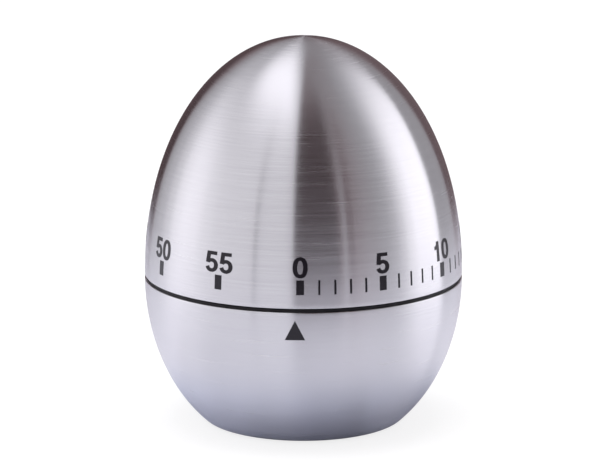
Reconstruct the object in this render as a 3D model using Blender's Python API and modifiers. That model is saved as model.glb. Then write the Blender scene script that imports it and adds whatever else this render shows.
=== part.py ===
"""Egg-shaped 60-minute mechanical kitchen timer, as a Blender 4.5 model.

Metres, +Z up. The origin is the middle of the base, on the worktop. The pointer faces -Y.
The steel dome is the dial: it turns clockwise, seen from above, to wind the movement in the bowl.
"""

from math import acos, asin, atan2, cos, hypot, pi, radians, sin, tan

import bmesh
import bpy
from mathutils import Matrix, Vector

MM = 0.001

# Overall egg
EGG_DIAMETER = 61.0 * MM
EGG_HEIGHT = 74.5 * MM
WIDEST_HEIGHT = 28.0 * MM
BASE_DIAMETER = 37.4 * MM
TOP_POWERS = (2.11, 2.04)
BELLY_POWERS = (1.956, 2.397)
SEAM_HEIGHT = 28.6 * MM
SEAM_WIDTH = 0.75 * MM

# Shells
STEEL_WALL = 0.5 * MM
STEEL_TO_LINER = 0.15 * MM
LINER_WALL = 1.4 * MM
COVER_TO_LINER = 0.3 * MM
BOWL_EDGE_HEIGHT = 0.45 * MM
BOWL_LIP_WIDTH = 0.7 * MM
SEAM_FLANGE_THICKNESS = 0.42 * MM
SEAM_FLANGE_RECESS = 0.35 * MM
SEAM_FLANGE_LIFT = 0.05 * MM
SHELF_WIDTH = 2.9 * MM
LINER_FLOOR_RADIUS = 8.6 * MM
LINER_FLOOR_THICKNESS = 1.6 * MM
DOME_LINER_HEIGHT = 10.5 * MM
DOME_LINER_LIFT = 0.25 * MM
HUB_LIFT = 0.2 * MM
HUB_RADIUS = 4.6 * MM
HUB_LENGTH = 12.5 * MM
WEB_THICKNESS = 1.5 * MM
RIB_THICKNESS = 1.2 * MM
RIB_COUNT = 6
RIB_LIFT = 3.5 * MM
RIB_WALL_GAP = 0.3 * MM
RIB_SINK = 1.5 * MM
RIB_WEB_SINK = 0.4 * MM

# Base cover
COVER_TOP = 2.6 * MM
COVER_RING_WIDTH = 3.2 * MM
COVER_RECESS = 0.6 * MM
COVER_FLANGE_OVERLAP = 0.8 * MM
COVER_RIM_GAP = 0.35 * MM
COVER_EDGE = 0.3 * MM
HEAD_SEAT_DEPTH = 1.05 * MM
HEAD_SINK_RADIUS = 2.1 * MM
BOSS_RADIUS = 2.5 * MM
BOSS_SINK = 0.5 * MM
BOSS_TO_BELL = 0.8 * MM

# Fits, and how far a cutter passes the face that it starts from
TOUCH = 0.1 * MM
PRESS = 0.05 * MM
RUNNING = 0.1 * MM
PAST = 1 * MM

# Screws: head radius, head height, shank radius, shank length
BASE_SCREW = (1.9 * MM, 0.85 * MM, 1.0 * MM, 4.2 * MM)
PLATE_SCREW = (1.6 * MM, 0.8 * MM, 0.8 * MM, 4.8 * MM)
MOUNT_SCREW = (1.4 * MM, 0.8 * MM, 0.8 * MM, 5.2 * MM)
BELL_SCREW = (2.4 * MM, 1.0 * MM, 1.1 * MM, 4.0 * MM)
SLOT_LENGTH = 1.1
SLOT_WIDTH = 0.26

# Movement frame
PLATE_RADIUS = 22.5 * MM
PLATE_THICKNESS = 0.8 * MM
LOWER_PLATE_Z = 12.2 * MM
PLATE_GAP = 12.2 * MM
PILLAR_RADIUS = 1.5 * MM
PILLAR_FOOT_RADIUS = 0.9 * MM
PILLAR_TAP_DEPTH = 5 * MM
PILLAR_CIRCLE = 20.2 * MM
PILLAR_ANGLES = (125.0, 205.0, 318.0)
MOUNT_SCREW_CIRCLE = 21.0 * MM
MOUNT_SCREW_ANGLES = (60.0, 170.0, 280.0)
MOUNT_DRILL_DEPTH = 5.5 * MM
BASE_SCREW_INSET = 2.65 * MM
BASE_SCREW_ANGLES = (90.0, 210.0, 330.0)
PIVOT_RADIUS = 0.4 * MM
ARBOR_RADIUS = 0.65 * MM
SEAT_RADIUS = ARBOR_RADIUS + 0.25 * MM
SEAT_OVERHANG = 0.1 * MM

# Winding shaft and what it carries
SHAFT_RADIUS = 2.2 * MM
SHAFT_PIVOT_RADIUS = 1.0 * MM
SHAFT_FLAT = 1.5 * MM
SHAFT_TOP = 41.0 * MM
SHAFT_END_GAP = 0.3 * MM
COLLAR_WIDTH = 0.8 * MM
COLLAR_RISE = 0.5 * MM
SPRING_HEIGHT = 4.8 * MM
SPRING_STRIP = 0.28 * MM
SPRING_TURNS = 5.0
SPRING_STEPS = 16
SPRING_SHAFT_GAP = 0.25 * MM
SPRING_LOOP_GAP = 0.1 * MM
SPRING_OUTER_RADIUS = 8.6 * MM
SPRING_POST_CIRCLE = 10.3 * MM
SPRING_POST_ANGLE = 180.0
SPRING_POST_RADIUS = 0.8 * MM
SPRING_POST_RISE = 0.2 * MM
RATCHET_TEETH = 20
RATCHET_RADIUS = 5.2 * MM
RATCHET_DEPTH = 0.8 * MM
RATCHET_LEAN = 0.08
CLICK_CIRCLE = 8.4 * MM
CLICK_RADIUS = 1.2 * MM
CLICK_STUD_RADIUS = 0.6 * MM
CLICK_STUD_RISE = 0.2 * MM
CLICK_SIDE_GAP = 0.05 * MM
CLICK_NOSE_ANGLE = 42.0
CLICK_NOSE_RADIUS = 0.26 * MM
CLICK_NOSE_GAP = 0.32 * MM
CLICK_SPRING_RADIUS = 0.14 * MM
CLICK_SPRING_ANCHOR = (9.3 * MM, 62.0)
CLICK_SPRING_TIP = (RATCHET_RADIUS + 2.2 * MM, 36.0)
CLICK_SPRING_BOW = 0.5 * MM
CLICK_SPRING_RISE = 0.45 * MM
CLICK_SPRING_FOOT_GAP = 0.25 * MM
CAM_RADIUS = 6.0 * MM
CAM_NOTCH_DEPTH = 1.6 * MM
CAM_NOTCH_ANGLE = 24.0
CAM_NOTCH_TAPER = 0.6

# Going train: teeth of each wheel, of the pinion that it drives, and their module
GREAT_TEETH, GREAT_MODULE = 48, 0.45 * MM
SECOND_TEETH, SECOND_MODULE = 40, 0.375 * MM
THIRD_TEETH, THIRD_MODULE = 40, 0.3125 * MM
FOURTH_TEETH, FOURTH_MODULE = 32, 0.3125 * MM
STRIKE_TEETH, STRIKE_MODULE = 40, 0.516 * MM
PINION_TEETH = 8
STRIKE_PINION_TEETH = 10
WHEEL_THICKNESS = 0.6 * MM
STRIKE_GEAR_THICKNESS = 0.8 * MM
PINION_OVERHANG = 0.3 * MM

# Round crossings: the small wheels' by shares of their radius, the others' by circle and radius
CROSSING_CIRCLE_SHARE = 0.52
CROSSING_RADIUS_SHARE = 0.27
GREAT_CROSSING = (6.6 * MM, 1.7 * MM)
STRIKE_CROSSING = (6.2 * MM, 1.9 * MM)

# Tooth proportions, in modules
PRESSURE_ANGLE = radians(20.0)
WHEEL_ADDENDUM, WHEEL_DEDENDUM, WHEEL_TOOTH = 0.65, 1.25, 1.20
PINION_ADDENDUM, PINION_DEDENDUM, PINION_TOOTH = 1.0, 0.90, 1.35

# Where the arbors stand: the first by its angle, the others by their distance from the centre
SECOND_ANGLE = 90.0
THIRD_RADIUS = 13.5 * MM
FOURTH_RADIUS = 15.8 * MM
ESCAPE_RADIUS = 16.0 * MM
STRIKE_ANGLE = 230.0

# Escapement
ESCAPE_TEETH = 15
ESCAPE_TIP_RADIUS = 4.4 * MM
ESCAPE_ROOT_RADIUS = 3.3 * MM
ESCAPE_TOOTH = (
    (-0.20, ESCAPE_ROOT_RADIUS), (-0.035, ESCAPE_TIP_RADIUS),
    (0.035, ESCAPE_TIP_RADIUS), (0.16, ESCAPE_ROOT_RADIUS),
)
PALLET_SPAN_TEETH = 3.5
PALLET_PIN_RADIUS = 0.2 * MM
PALLET_CLEARANCE = 0.06 * MM
PALLET_PIN_DROP = 0.2 * MM
PALLET_LEVER_LIFT = 0.4 * MM
PALLET_LEVER_THICKNESS = 0.6 * MM
PALLET_HUB_RADIUS = 1.6 * MM
PALLET_END_RADIUS = 0.5 * MM
BALANCE_RADIUS = 4.6 * MM
BALANCE_RIM = 0.9 * MM
BALANCE_HUB_RADIUS = 1.9 * MM
BALANCE_SPOKE_HALF = 0.35

# Strike
STAR_TEETH = 12
STAR_RADIUS = 3.4 * MM
STAR_DEPTH = 0.9 * MM
STAR_THICKNESS = 1.0 * MM
STRIKE_PINION_GAP = 0.2 * MM
HAMMER_CIRCLE = 16.5 * MM
HAMMER_ANGLE = 262.0
HAMMER_HEAD_CIRCLE = 14.0 * MM
HAMMER_HEAD_ANGLE = 295.0
HAMMER_HEAD_RADIUS = 1.6 * MM
HAMMER_HEAD_CLEARANCE = 1.3 * MM
HAMMER_STEM_RADIUS = 0.7 * MM
HAMMER_HUB_RADIUS = 1.5 * MM
HAMMER_EYE_RADIUS = 1.2 * MM
HAMMER_TAIL_RADIUS = 0.35 * MM
HAMMER_TAIL_GAP = 0.15 * MM
HAMMER_ARM_LIFT = 0.2 * MM
HAMMER_ARM_THICKNESS = 0.8 * MM
HAMMER_HEAD_LIFT = 2.6 * MM
BELL_RADIUS = 17.5 * MM
BELL_FLOOR_RADIUS = 11.0 * MM
BELL_BOTTOM = 7.2 * MM
BELL_RIM = 11.3 * MM
BELL_WALL = 0.8 * MM
BELL_HOLE_RADIUS = 1.3 * MM
BELL_POST_RADIUS = 2.4 * MM
BELL_TAP_DEPTH = 3.2 * MM
LEVER_CIRCLE = 14.5 * MM
LEVER_ANGLE = 205.0
LEVER_LEAD = 25.0
LEVER_HUB_RADIUS = 1.5 * MM
LEVER_NOSE_RADIUS = 0.5 * MM
LEVER_NOSE_GAP = 0.65 * MM
LEVER_TAIL_RADIUS = 0.6 * MM
LEVER_TAIL_GAP = 2.5 * MM
LEVER_STUD_RADIUS = 0.7 * MM
LEVER_CAP_RADIUS = 1.3 * MM
LEVER_CAP_GAP = 0.1 * MM
LEVER_CAP_THICKNESS = 0.4 * MM

# Roundness: degrees of slope between rings of the egg, and facets around
CURVE_STEP = 9.0
SHELL_SEGMENTS = 40
BELL_SEGMENTS = 28
SMALL_SEGMENTS = 10

# Heights that follow from the sizes above
PLATE_TOP = LOWER_PLATE_Z + PLATE_THICKNESS
UPPER_PLATE_Z = PLATE_TOP + PLATE_GAP
FRAME_TOP = UPPER_PLATE_Z + PLATE_THICKNESS
SPRING_Z = PLATE_TOP + 0.5 * MM
THIRD_WHEEL_Z = SPRING_Z + SPRING_HEIGHT + 0.5 * MM
GREAT_WHEEL_Z = THIRD_WHEEL_Z + WHEEL_THICKNESS + 0.6 * MM
GREAT_THICKNESS = 1.0 * MM
RATCHET_Z = GREAT_WHEEL_Z + GREAT_THICKNESS + 0.2 * MM
RATCHET_THICKNESS = 0.8 * MM
SECOND_WHEEL_Z = RATCHET_Z + RATCHET_THICKNESS + 0.3 * MM
STRIKE_GEAR_Z = SECOND_WHEEL_Z + WHEEL_THICKNESS + 0.5 * MM
ESCAPE_WHEEL_Z = PLATE_TOP + 1.4 * MM
FOURTH_WHEEL_Z = ESCAPE_WHEEL_Z + 2.6 * MM
BALANCE_Z = SECOND_WHEEL_Z
STAR_Z = PLATE_TOP + 2.0 * MM
CAM_Z = FRAME_TOP + 0.9 * MM
CAM_THICKNESS = 0.9 * MM
SEAM_BOTTOM = SEAM_HEIGHT - SEAM_WIDTH / 2
SEAM_TOP = SEAM_HEIGHT + SEAM_WIDTH / 2
LINER_OFFSET = STEEL_WALL + STEEL_TO_LINER
BOWL_LIP_RADIUS = BASE_DIAMETER / 2 - BOWL_LIP_WIDTH
COVER_FLANGE_RADIUS = BOWL_LIP_RADIUS + COVER_FLANGE_OVERLAP
COVER_RIM_RADIUS = BOWL_LIP_RADIUS - COVER_RIM_GAP
COVER_RING_RADIUS = COVER_RIM_RADIUS - COVER_RING_WIDTH
BASE_SCREW_CIRCLE = COVER_RING_RADIUS - BASE_SCREW_INSET
SHELF_RADIUS = PLATE_RADIUS - SHELF_WIDTH
LINER_BOTTOM = COVER_TOP + COVER_TO_LINER
WEB_Z = SEAM_TOP + DOME_LINER_HEIGHT - WEB_THICKNESS

EGG_RADIUS = EGG_DIAMETER / 2
CROWN_HEIGHT = EGG_HEIGHT - WIDEST_HEIGHT
BELLY_DEPTH = WIDEST_HEIGHT / (
    (1 - (BASE_DIAMETER / EGG_DIAMETER) ** BELLY_POWERS[1]) ** (1 / BELLY_POWERS[0])
)


# ---------------------------------------------------------------- scene helpers


def clear_scene():
    for obj in list(bpy.data.objects):
        bpy.data.objects.remove(obj, do_unlink=True)


def new_collection(name):
    collection = bpy.data.collections.new(name)
    bpy.context.scene.collection.children.link(collection)
    return collection


def principled(name, colour, roughness, metallic):
    material = bpy.data.materials.new(name)
    material.use_nodes = True
    shader = material.node_tree.nodes["Principled BSDF"]
    shader.inputs["Base Color"].default_value = (*colour, 1.0)
    shader.inputs["Roughness"].default_value = roughness
    shader.inputs["Metallic"].default_value = metallic
    return material


def axis_at(name, x=0.0, y=0.0, parent=None):
    """An empty on a joint's axis. The pieces that turn about it are its children."""
    empty = bpy.data.objects.new(name, None)
    empty.empty_display_size = 3 * MM
    timer.objects.link(empty)
    empty.parent = parent
    empty.location = (x, y, 0)
    return empty


def place(obj, material, parent=None, angle=0.0, collection=None):
    (collection or timer).objects.link(obj)
    obj.parent = parent
    obj.rotation_euler.z = angle
    if material:
        obj.data.materials.append(material)
    return obj


def hide_cutter(obj):
    obj.hide_render = True
    obj.display_type = "WIRE"


def boolean(obj, tool, operation):
    modifier = obj.modifiers.new(operation.lower(), "BOOLEAN")
    modifier.operation = operation
    modifier.object = tool
    modifier.solver = "EXACT"
    hide_cutter(tool)


# ---------------------------------------------------------------- solids


def turned(name, profile, segments, material, parent=None, closed=True, collection=None):
    """A solid of revolution about Z. The profile of (radius, height) runs down its outer side."""
    mesh = bpy.data.meshes.new(name)
    count = len(profile)
    edges = [(i, (i + 1) % count) for i in range(count if closed else count - 1)]
    mesh.from_pydata([(r, 0, z) for r, z in profile], edges, [])
    obj = place(bpy.data.objects.new(name, mesh), material, parent, collection=collection)
    screw = obj.modifiers.new("turn", "SCREW")
    screw.axis = "Z"
    screw.steps = screw.render_steps = segments
    screw.use_merge_vertices = True
    screw.merge_threshold = 0.00001
    screw.use_smooth_shade = True
    return obj


def rod(name, radius, low, high, material, x=0.0, y=0.0, parent=None,
        segments=SMALL_SEGMENTS, collection=None):
    """An upright cylinder with capped ends."""
    mesh = bpy.data.meshes.new(name)
    shape = bmesh.new()
    bmesh.ops.create_cone(
        shape, cap_ends=True, segments=segments, radius1=radius, radius2=radius,
        depth=high - low, matrix=Matrix.Translation((x, y, (low + high) / 2)),
    )
    shape.to_mesh(mesh)
    shape.free()
    mesh.shade_smooth()
    mesh.set_sharp_from_angle(angle=radians(40))
    return place(bpy.data.objects.new(name, mesh), material, parent, collection=collection)


def stepped_rod(name, steps, material, parent=None, segments=SMALL_SEGMENTS):
    """A turned rod from (radius, low, high) steps, listed from the top down."""
    profile = [(0, steps[0][2])]
    for radius, low, high in steps:
        profile += [(radius, high), (radius, low)]
    profile.append((0, steps[-1][1]))
    return turned(name, profile, segments, material, parent, closed=False)


def box(name, size, centre, angle=0.0, collection=None):
    mesh = bpy.data.meshes.new(name)
    shape = bmesh.new()
    place_box = Matrix.Rotation(angle, 4, "Z") @ Matrix.Translation(centre)
    bmesh.ops.create_cube(shape, size=1, matrix=place_box @ Matrix.Diagonal((*size, 1)))
    shape.to_mesh(mesh)
    shape.free()
    return place(bpy.data.objects.new(name, mesh), None, collection=collection)


def flat(name, outlines, low, high, material, parent=None, angle=0.0, collection=None):
    """A flat plate between two heights: a filled 2D curve. Outlines after the first are holes."""
    curve = bpy.data.curves.new(name, "CURVE")
    curve.dimensions = "2D"
    curve.fill_mode = "BOTH"
    curve.extrude = (high - low) / 2
    for outline in outlines:
        spline = curve.splines.new("POLY")
        spline.points.add(len(outline) - 1)
        for point, (x, y) in zip(spline.points, outline):
            point.co = (x, y, 0, 1)
        spline.use_cyclic_u = True
    obj = place(bpy.data.objects.new(name, curve), material, parent, angle, collection)
    obj.location.z = (low + high) / 2
    return obj


def as_mesh(obj):
    """The same object as a closed mesh, which a Boolean can read."""
    bpy.context.view_layer.update()
    graph = bpy.context.evaluated_depsgraph_get()
    mesh = bpy.data.meshes.new_from_object(obj.evaluated_get(graph))
    shape = bmesh.new()
    shape.from_mesh(mesh)
    bmesh.ops.remove_doubles(shape, verts=shape.verts, dist=0.000002)
    shape.to_mesh(mesh)
    shape.free()
    name, parent, collection = obj.name, obj.parent, obj.users_collection[0]
    basis = obj.matrix_basis.copy()
    bpy.data.objects.remove(obj, do_unlink=True)
    made = bpy.data.objects.new(name, mesh)
    collection.objects.link(made)
    made.parent = parent
    made.matrix_basis = basis
    return made


def polar(radius, angle_deg):
    return radius * cos(radians(angle_deg)), radius * sin(radians(angle_deg))


def circle(x, y, radius, segments=SMALL_SEGMENTS):
    turn = 2 * pi / segments
    return [(x + radius * cos(i * turn), y + radius * sin(i * turn)) for i in range(segments)]


def tapered_link(hub_radius, end_x, end_y, end_radius, steps=5):
    """Outline of a link from a round hub on its axis to a round end at a point."""
    lean = asin((hub_radius - end_radius) / hypot(end_x, end_y))
    start = atan2(end_y, end_x) + pi / 2 - lean
    points = []
    for i in range(steps + 1):
        a = start + (pi + 2 * lean) * i / steps
        points.append((hub_radius * cos(a), hub_radius * sin(a)))
    for i in range(steps + 1):
        a = start + pi + 2 * lean + (pi - 2 * lean) * i / steps
        points.append((end_x + end_radius * cos(a), end_y + end_radius * sin(a)))
    return points


# ---------------------------------------------------------------- egg outline


def egg_point(slope):
    """(radius, height) on the egg. The slope angle is 0 at the widest ring and 90 degrees at the top."""
    across, along = cos(abs(slope)), sin(abs(slope))
    if slope >= 0:
        high, wide = TOP_POWERS
        return EGG_RADIUS * across ** (2 / wide), WIDEST_HEIGHT + CROWN_HEIGHT * along ** (2 / high)
    high, wide = BELLY_POWERS
    return EGG_RADIUS * across ** (2 / wide), WIDEST_HEIGHT - BELLY_DEPTH * along ** (2 / high)


def egg_slope(height):
    if height >= WIDEST_HEIGHT:
        return asin(((height - WIDEST_HEIGHT) / CROWN_HEIGHT) ** (TOP_POWERS[0] / 2))
    return -asin(((WIDEST_HEIGHT - height) / BELLY_DEPTH) ** (BELLY_POWERS[0] / 2))


def egg_inset(slope, inset):
    """The egg's point moved inwards, square to its surface."""
    step = 0.0005
    top = pi / 2
    if slope >= top - step:
        return 0.0, EGG_HEIGHT - inset
    (r0, z0), (r1, z1) = egg_point(slope - step), egg_point(min(slope + step, top))
    length = hypot(r1 - r0, z1 - z0)
    r, z = egg_point(slope)
    return r - inset * (z1 - z0) / length, z + inset * (r1 - r0) / length


def inset_slope(height, inset):
    """The slope at which the inset egg reaches this height."""
    if height >= EGG_HEIGHT - inset:
        return pi / 2
    low, high = egg_slope(0.0), pi / 2
    for _ in range(50):
        middle = (low + high) / 2
        if egg_inset(middle, inset)[1] < height:
            low = middle
        else:
            high = middle
    return (low + high) / 2


def egg_curve(top, bottom, inset, step_deg):
    """Points down the egg's wall between two heights. The wall and what lines it share their slopes."""
    first, last = inset_slope(top, inset), inset_slope(bottom, inset)
    step = radians(step_deg)
    slopes = [first]
    for i in range(int(pi / step), -int(pi / step), -1):
        if last + step / 4 < i * step < first - step / 4:
            slopes.append(i * step)
    slopes.append(last)
    return [egg_inset(slope, inset) for slope in slopes]


# ---------------------------------------------------------------- gear teeth


def involute(angle):
    return tan(angle) - angle


def half_tooth(radius, pitch_radius, tooth):
    """Half the angle that a tooth covers at a radius, from its thickness at the pitch circle."""
    base = pitch_radius * cos(PRESSURE_ANGLE)
    at = acos(base / radius) if radius > base else 0.0
    return tooth / (2 * pitch_radius) + involute(PRESSURE_ANGLE) - involute(at)


def gear_outline(teeth, module, addendum, dedendum, tooth, levels):
    """Involute teeth with straight facets between the given numbers of levels."""
    pitch_radius = teeth * module / 2
    root = pitch_radius - dedendum * module
    tip = pitch_radius + addendum * module
    points = []
    for n in range(teeth):
        middle = 2 * pi * n / teeth
        for side in (-1, 1):
            radii = [root + (tip - root) * i / (levels - 1) for i in range(levels)]
            for radius in radii if side < 0 else reversed(radii):
                a = middle + side * half_tooth(radius, pitch_radius, tooth * module)
                points.append((radius * cos(a), radius * sin(a)))
    return points


def wheel_outline(teeth, module):
    return gear_outline(teeth, module, WHEEL_ADDENDUM, WHEEL_DEDENDUM, WHEEL_TOOTH, 2)


def pinion_outline(teeth, module):
    return gear_outline(teeth, module, PINION_ADDENDUM, PINION_DEDENDUM, PINION_TOOTH, 2)


def mesh_phase(wheel_angle, wheel_xy, wheel_radius, pinion_xy, pinion_radius, module):
    """The angle that puts a pinion's tooth in the middle of a wheel's gap."""
    line = atan2(pinion_xy[1] - wheel_xy[1], pinion_xy[0] - wheel_xy[0])
    ahead = (wheel_angle - line) * wheel_radius + pi * module / 2
    return line + pi - ahead / pinion_radius


def reach(teeth, module, pinion_teeth=PINION_TEETH):
    """The distance between a wheel's arbor and that of the pinion it drives."""
    return (teeth + pinion_teeth) * module / 2


def next_arbor(previous, radius, distance):
    """The next arbor, clockwise round the frame, at its distances from the centre and the last one."""
    r0 = hypot(*previous)
    turn = acos((r0 * r0 + radius * radius - distance * distance) / (2 * r0 * radius))
    angle = atan2(previous[1], previous[0]) - turn
    return radius * cos(angle), radius * sin(angle)


def wheel(name, teeth, module, low, parent, angle, bore):
    """A toothed brass wheel with round crossings, on its arbor's seat."""
    pitch_radius = teeth * module / 2
    middle = (pitch_radius + bore) * CROSSING_CIRCLE_SHARE
    hole = (pitch_radius - bore) * CROSSING_RADIUS_SHARE
    crossings = [circle(*polar(middle, 45 + 90 * i), hole) for i in range(4)]
    outlines = [wheel_outline(teeth, module), circle(0, 0, bore), *crossings]
    return flat(name, outlines, low, low + WHEEL_THICKNESS, brass, parent, angle)


def pinion_arbor(name, module, low, high, seat, parent, angle, teeth=PINION_TEETH):
    """An arbor with a leaf pinion between two heights and a thicker seat for its wheel."""
    arbor = arbor_rod(name, [seat], parent)
    leaves = flat(
        name + "_leaves", [pinion_outline(teeth, module)], low, high, None, parent, angle, helpers,
    )
    boolean(arbor, as_mesh(leaves), "UNION")


def arbor_rod(name, seats, parent):
    """An arbor between the plates, with a pivot at each end. Its seats are listed from the top down."""
    steps = [(PIVOT_RADIUS, UPPER_PLATE_Z - RUNNING, FRAME_TOP - TOUCH)]
    top = UPPER_PLATE_Z - RUNNING
    for low, high in seats:
        steps += [(ARBOR_RADIUS, high, top), (SEAT_RADIUS, low, high)]
        top = low
    bottom = PLATE_TOP + RUNNING
    steps += [(ARBOR_RADIUS, bottom, top), (PIVOT_RADIUS, LOWER_PLATE_Z + TOUCH, bottom)]
    return stepped_rod(name, steps, steel, parent)


# ---------------------------------------------------------------- shells


def make_dome():
    """The steel dome and the moulded liner that grips the winding shaft."""
    outer = egg_curve(EGG_HEIGHT, SEAM_TOP, 0, CURVE_STEP)
    inner = egg_curve(EGG_HEIGHT - STEEL_WALL, SEAM_TOP, STEEL_WALL, CURVE_STEP)
    turned("dome_shell", outer + inner[::-1], SHELL_SEGMENTS, steel_sheet, dial_axis, closed=False)

    low = SEAM_TOP + DOME_LINER_LIFT
    top = SEAM_TOP + DOME_LINER_HEIGHT
    hub_low = SEAM_TOP + HUB_LIFT
    hub_top = hub_low + HUB_LENGTH
    outer = egg_curve(top, low, LINER_OFFSET, CURVE_STEP)
    inner = egg_curve(WEB_Z, low, LINER_OFFSET + LINER_WALL, CURVE_STEP)
    profile = [
        (0, hub_top), (HUB_RADIUS, hub_top), (HUB_RADIUS, top),
        *outer, *inner[::-1],
        (HUB_RADIUS, WEB_Z), (HUB_RADIUS, hub_low), (0, hub_low),
    ]
    liner = turned("dome_liner", profile, SHELL_SEGMENTS, black_plastic, dial_axis, closed=False)
    rib_end = inner[0][0] - RIB_WALL_GAP
    rib_low = SEAM_TOP + RIB_LIFT
    rib_high = WEB_Z + RIB_WEB_SINK
    for i in range(RIB_COUNT):
        rib = box(
            f"rib_{i + 1}",
            (rib_end - HUB_RADIUS + RIB_SINK, RIB_THICKNESS, rib_high - rib_low),
            ((rib_end + HUB_RADIUS) / 2, 0, (rib_high + rib_low) / 2),
            2 * pi * (i + 0.5) / RIB_COUNT, helpers,
        )
        boolean(liner, rib, "UNION")
    bore = as_mesh(flat(
        "hub_bore", [d_outline(SHAFT_RADIUS + TOUCH, SHAFT_FLAT + TOUCH)],
        hub_low - PAST, SHAFT_TOP + SHAFT_END_GAP, None, None, 0, helpers,
    ))
    boolean(liner, bore, "DIFFERENCE")


def d_outline(radius, flat_distance, segments=20):
    """A circle cut off by a flat on its +X side."""
    half = acos(flat_distance / radius)
    turn = (2 * pi - 2 * half) / segments
    return [(radius * cos(half + i * turn), radius * sin(half + i * turn))
            for i in range(segments + 1)]


def make_bowl():
    """The steel bowl, with its lip turned in under the base cover's flange."""
    outer = egg_curve(SEAM_BOTTOM, BOWL_EDGE_HEIGHT, 0, CURVE_STEP)
    lip_top = BOWL_EDGE_HEIGHT + STEEL_WALL
    inner = egg_curve(SEAM_BOTTOM, lip_top, STEEL_WALL, CURVE_STEP)
    profile = [*outer, (BOWL_LIP_RADIUS, BOWL_EDGE_HEIGHT), (BOWL_LIP_RADIUS, lip_top), *inner[::-1]]
    turned("bowl_shell", profile, SHELL_SEGMENTS, steel_sheet)


def make_bowl_liner():
    """The moulded cup in the bowl: the seam flange, the movement's shelf and the cover's bosses."""
    shelf = LOWER_PLATE_Z - TOUCH
    floor_top = LINER_BOTTOM + LINER_FLOOR_THICKNESS
    flange_low = SEAM_BOTTOM + SEAM_FLANGE_LIFT
    flange_high = flange_low + SEAM_FLANGE_THICKNESS
    flange_radius = egg_point(egg_slope(SEAM_HEIGHT))[0] - SEAM_FLANGE_RECESS
    outer = egg_curve(flange_low, LINER_BOTTOM, LINER_OFFSET, CURVE_STEP)
    inner = egg_curve(flange_high, shelf, LINER_OFFSET + LINER_WALL, CURVE_STEP)
    profile = [
        (flange_radius, flange_high), (flange_radius, flange_low), *outer,
        (LINER_FLOOR_RADIUS, LINER_BOTTOM), (LINER_FLOOR_RADIUS, floor_top),
        (outer[-1][0] - LINER_WALL, floor_top), (SHELF_RADIUS, shelf), *inner[::-1],
    ]
    liner = turned("bowl_liner", profile, SHELL_SEGMENTS, black_plastic)
    boss_top = BELL_BOTTOM - BOSS_TO_BELL
    for i, angle in enumerate(BASE_SCREW_ANGLES):
        x, y = polar(BASE_SCREW_CIRCLE, angle)
        boss = rod(f"boss_{i + 1}", BOSS_RADIUS, LINER_BOTTOM + BOSS_SINK, boss_top, None, x, y,
                   segments=12, collection=helpers)
        boolean(liner, boss, "UNION")
        drill = rod(f"boss_drill_{i + 1}", BASE_SCREW[2] + TOUCH, LINER_BOTTOM - PAST,
                    boss_top + PAST, None, x, y, collection=helpers)
        boolean(liner, drill, "DIFFERENCE")
    for i, angle in enumerate(MOUNT_SCREW_ANGLES):
        x, y = polar(MOUNT_SCREW_CIRCLE, angle)
        drill = rod(f"shelf_drill_{i + 1}", MOUNT_SCREW[2] + TOUCH, shelf - MOUNT_DRILL_DEPTH,
                    shelf + PAST, None, x, y, collection=helpers)
        boolean(liner, drill, "DIFFERENCE")


def make_base_cover():
    """The moulded foot. It stands on its outer ring and holds the bowl's lip to the liner."""
    lip_gap = BOWL_EDGE_HEIGHT + STEEL_WALL + TOUCH
    profile = [
        (0, COVER_TOP), (COVER_FLANGE_RADIUS, COVER_TOP), (COVER_FLANGE_RADIUS, lip_gap),
        (COVER_RIM_RADIUS, lip_gap), (COVER_RIM_RADIUS, COVER_EDGE),
        (COVER_RIM_RADIUS - COVER_EDGE, 0), (COVER_RING_RADIUS + COVER_EDGE, 0),
        (COVER_RING_RADIUS, COVER_RECESS), (0, COVER_RECESS),
    ]
    cover = turned("base_cover", profile, SHELL_SEGMENTS, black_plastic, closed=False)
    head_seat = COVER_RECESS + HEAD_SEAT_DEPTH
    for i, angle in enumerate(BASE_SCREW_ANGLES):
        x, y = polar(BASE_SCREW_CIRCLE, angle)
        sink = rod(f"sink_{i + 1}", HEAD_SINK_RADIUS, -PAST, head_seat, None, x, y,
                   segments=12, collection=helpers)
        boolean(cover, sink, "DIFFERENCE")
        hole = rod(f"cover_hole_{i + 1}", BASE_SCREW[2] + TOUCH, 0, COVER_TOP + PAST, None, x, y,
                   collection=helpers)
        boolean(cover, hole, "DIFFERENCE")
        screw(f"base_screw_{i + 1}", x, y, head_seat - TOUCH, -1, BASE_SCREW, 2)


def screw(name, x, y, seat, up, sizes, slots=1):
    """A slotted screw, or a cross-head one with two slots.

    up is 1 where the head stands above its seat, and -1 where it hangs below.
    """
    head_radius, head_height, shank_radius, shank_length = sizes
    head_end = seat + up * head_height
    low, high = sorted((seat, head_end))
    tip_low, tip_high = sorted((seat - up * shank_length, seat))
    axis = axis_at(f"{name}_axis", x, y)
    if up > 0:
        steps = [(head_radius, low, high), (shank_radius, tip_low, tip_high)]
    else:
        steps = [(shank_radius, tip_low, tip_high), (head_radius, low, high)]
    made = stepped_rod(name, steps, plated, axis)
    for arm in range(slots):
        slot = box(
            f"{name}_slot_{arm + 1}",
            (head_radius * SLOT_LENGTH, head_radius * SLOT_WIDTH, head_height),
            (0, 0, head_end), arm * pi / 2, helpers,
        )
        slot.location = (x, y, 0)
        boolean(made, slot, "DIFFERENCE")


# ---------------------------------------------------------------- movement frame


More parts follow.
